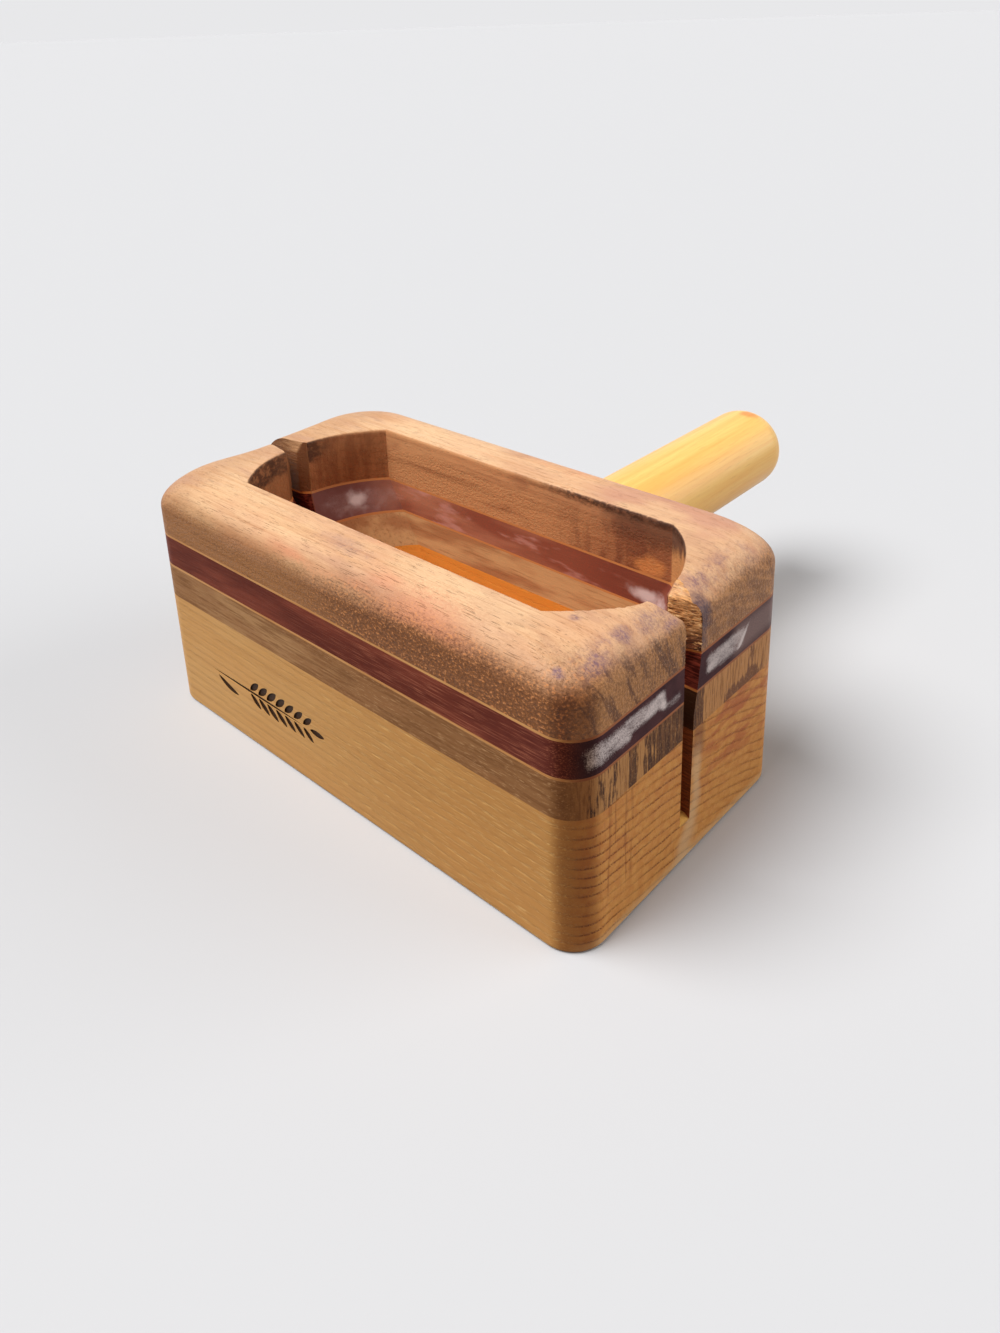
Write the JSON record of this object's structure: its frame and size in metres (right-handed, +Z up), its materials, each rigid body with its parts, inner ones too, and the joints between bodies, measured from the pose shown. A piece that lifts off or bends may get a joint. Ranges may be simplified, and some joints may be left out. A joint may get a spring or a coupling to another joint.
{
  "type": "bagel slicer",
  "caption": "Layered hardwood block with a deep pocket that holds a bagel on edge, a knife slot through its end walls and a round side handle.",
  "frame": {"origin": "middle of the block's underside, with the handle left out of account", "axes": "+X along the block towards its thinner end wall, +Y out of the rear side along the handle, +Z up"},
  "size_m": [0.165, 0.1895, 0.076],
  "materials": {
    "base": "satin oiled pale hardwood",
    "walnut": "satin oiled walnut",
    "veneer": "satin oiled pale veneer",
    "purpleheart": "satin oiled purpleheart",
    "handle": "varnished pale dowel"
  },
  "bodies": {
    "root": {"base_block": "base", "walnut_band_front": "walnut", "walnut_band_rear": "walnut", "lower_veneer_front": "veneer", "lower_veneer_rear": "veneer", "purpleheart_band_front": "purpleheart", "purpleheart_band_rear": "purpleheart", "upper_veneer_front": "veneer", "upper_veneer_rear": "veneer", "walnut_cap_front": "walnut", "walnut_cap_rear": "walnut", "handle": "handle"}
  },
  "joints": []
}
